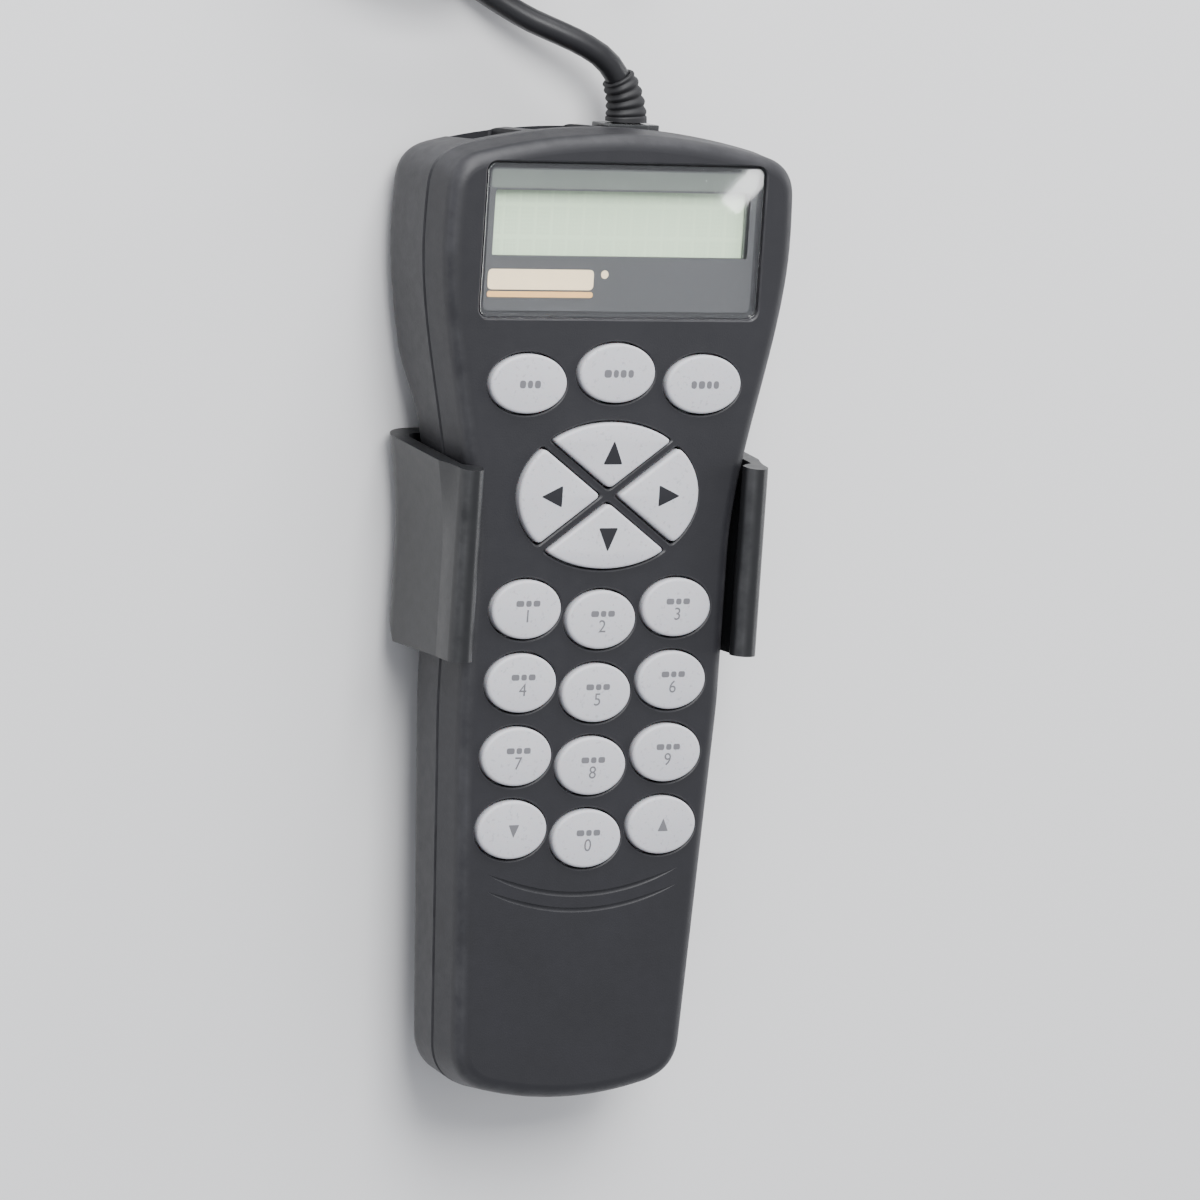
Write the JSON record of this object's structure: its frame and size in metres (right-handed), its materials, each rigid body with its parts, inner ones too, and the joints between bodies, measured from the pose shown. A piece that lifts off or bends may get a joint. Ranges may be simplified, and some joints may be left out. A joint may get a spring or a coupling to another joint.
{
  "type": "telescope hand controller",
  "caption": "Hand-held telescope controller with display window, oval rubber keys and a corded end, resting in a C-shaped clip holder.",
  "frame": {"origin": "on the flat back of the holder, under the middle of the controller", "axes": "+X the controller's right, +Y its display end, +Z out of its key face"},
  "size_m": [0.1064, 0.2845, 0.033],
  "materials": {
    "case_plastic": "fine-textured dark charcoal moulding",
    "holder_plastic": "smooth satin black moulding",
    "key_rubber": "matte light grey silicone",
    "mat_rubber": "matte grey silicone",
    "window_clear": "clear sheet, dark printed border",
    "lcd_glass": "pale green, satin",
    "display_metal": "thin pressed sheet",
    "diffuser": "milky",
    "board_laminate": "green solder mask",
    "black_moulding": "black moulding",
    "screw_steel": "zinc plated",
    "cord_jacket": "satin black jacket",
    "boot_rubber": "black, soft",
    "strap_fabric": "black woven hook-and-loop",
    "plug_plastic": "clear moulding"
  },
  "bodies": {
    "holder": {"holder_cradle": "holder_plastic"},
    "controller": {"front_case": "case_plastic", "back_case": "case_plastic", "display_window": "window_clear", "lcd_frame": "display_metal", "lcd_glass": "lcd_glass", "backlight_panel": "diffuser", "lcd_board": "board_laminate", "header_strip": "black_moulding", "keypad_mat": "mat_rubber", "main_board": "board_laminate", "processor": "black_moulding", "memory_chip": "black_moulding", "regulator": "black_moulding", "crystal": "display_metal", "buzzer": "black_moulding", "control_jack": "black_moulding", "serial_jack": "black_moulding", "power_jack": "black_moulding", "handset_plug": "plug_plastic", "handset_boot": "boot_rubber", "cord_lead": "cord_jacket", "cord_coil": "cord_jacket", "cord_tail": "cord_jacket", "cord_strap": "strap_fabric", "far_plug": "plug_plastic", "far_boot": "boot_rubber", "case_screw_1": "screw_steel", "case_screw_2": "screw_steel", "case_screw_3": "screw_steel", "case_screw_4": "screw_steel", "board_screw_1": "screw_steel", "board_screw_2": "screw_steel", "board_screw_3": "screw_steel"},
    "key_left_top": {"key_left_top": "key_rubber"},
    "key_mid_top": {"key_mid_top": "key_rubber"},
    "key_right_top": {"key_right_top": "key_rubber"},
    "key_right": {"key_right": "key_rubber"},
    "key_up": {"key_up": "key_rubber"},
    "key_left": {"key_left": "key_rubber"},
    "key_down": {"key_down": "key_rubber"},
    "key_r1_left": {"key_r1_left": "key_rubber"},
    "key_r1_mid": {"key_r1_mid": "key_rubber"},
    "key_r1_right": {"key_r1_right": "key_rubber"},
    "key_r2_left": {"key_r2_left": "key_rubber"},
    "key_r2_mid": {"key_r2_mid": "key_rubber"},
    "key_r2_right": {"key_r2_right": "key_rubber"},
    "key_r3_left": {"key_r3_left": "key_rubber"},
    "key_r3_mid": {"key_r3_mid": "key_rubber"},
    "key_r3_right": {"key_r3_right": "key_rubber"},
    "key_r4_left": {"key_r4_left": "key_rubber"},
    "key_r4_mid": {"key_r4_mid": "key_rubber"},
    "key_r4_right": {"key_r4_right": "key_rubber"}
  },
  "joints": [
    {"name": "controller_slide", "type": "slide", "parent": "holder", "child": "controller", "axis": [0, 1, 0], "range_m": [0, 0.13]},
    {"name": "key_left_top_press", "type": "slide", "parent": "controller", "child": "key_left_top", "axis": [0, 0, -1], "range_m": [0, 0.001], "stiffness_N_per_m": 300, "springref_m": -0.001},
    {"name": "key_mid_top_press", "type": "slide", "parent": "controller", "child": "key_mid_top", "axis": [0, 0, -1], "range_m": [0, 0.001], "stiffness_N_per_m": 300, "springref_m": -0.001},
    {"name": "key_right_top_press", "type": "slide", "parent": "controller", "child": "key_right_top", "axis": [0, 0, -1], "range_m": [0, 0.001], "stiffness_N_per_m": 300, "springref_m": -0.001},
    {"name": "key_right_press", "type": "slide", "parent": "controller", "child": "key_right", "axis": [0, 0, -1], "range_m": [0, 0.001], "stiffness_N_per_m": 300, "springref_m": -0.001},
    {"name": "key_up_press", "type": "slide", "parent": "controller", "child": "key_up", "axis": [0, 0, -1], "range_m": [0, 0.001], "stiffness_N_per_m": 300, "springref_m": -0.001},
    {"name": "key_left_press", "type": "slide", "parent": "controller", "child": "key_left", "axis": [0, 0, -1], "range_m": [0, 0.001], "stiffness_N_per_m": 300, "springref_m": -0.001},
    {"name": "key_down_press", "type": "slide", "parent": "controller", "child": "key_down", "axis": [0, 0, -1], "range_m": [0, 0.001], "stiffness_N_per_m": 300, "springref_m": -0.001},
    {"name": "key_r1_left_press", "type": "slide", "parent": "controller", "child": "key_r1_left", "axis": [0, 0, -1], "range_m": [0, 0.001], "stiffness_N_per_m": 300, "springref_m": -0.001},
    {"name": "key_r1_mid_press", "type": "slide", "parent": "controller", "child": "key_r1_mid", "axis": [0, 0, -1], "range_m": [0, 0.001], "stiffness_N_per_m": 300, "springref_m": -0.001},
    {"name": "key_r1_right_press", "type": "slide", "parent": "controller", "child": "key_r1_right", "axis": [0, 0, -1], "range_m": [0, 0.001], "stiffness_N_per_m": 300, "springref_m": -0.001},
    {"name": "key_r2_left_press", "type": "slide", "parent": "controller", "child": "key_r2_left", "axis": [0, 0, -1], "range_m": [0, 0.001], "stiffness_N_per_m": 300, "springref_m": -0.001},
    {"name": "key_r2_mid_press", "type": "slide", "parent": "controller", "child": "key_r2_mid", "axis": [0, 0, -1], "range_m": [0, 0.001], "stiffness_N_per_m": 300, "springref_m": -0.001},
    {"name": "key_r2_right_press", "type": "slide", "parent": "controller", "child": "key_r2_right", "axis": [0, 0, -1], "range_m": [0, 0.001], "stiffness_N_per_m": 300, "springref_m": -0.001},
    {"name": "key_r3_left_press", "type": "slide", "parent": "controller", "child": "key_r3_left", "axis": [0, 0, -1], "range_m": [0, 0.001], "stiffness_N_per_m": 300, "springref_m": -0.001},
    {"name": "key_r3_mid_press", "type": "slide", "parent": "controller", "child": "key_r3_mid", "axis": [0, 0, -1], "range_m": [0, 0.001], "stiffness_N_per_m": 300, "springref_m": -0.001},
    {"name": "key_r3_right_press", "type": "slide", "parent": "controller", "child": "key_r3_right", "axis": [0, 0, -1], "range_m": [0, 0.001], "stiffness_N_per_m": 300, "springref_m": -0.001},
    {"name": "key_r4_left_press", "type": "slide", "parent": "controller", "child": "key_r4_left", "axis": [0, 0, -1], "range_m": [0, 0.001], "stiffness_N_per_m": 300, "springref_m": -0.001},
    {"name": "key_r4_mid_press", "type": "slide", "parent": "controller", "child": "key_r4_mid", "axis": [0, 0, -1], "range_m": [0, 0.001], "stiffness_N_per_m": 300, "springref_m": -0.001},
    {"name": "key_r4_right_press", "type": "slide", "parent": "controller", "child": "key_r4_right", "axis": [0, 0, -1], "range_m": [0, 0.001], "stiffness_N_per_m": 300, "springref_m": -0.001}
  ]
}
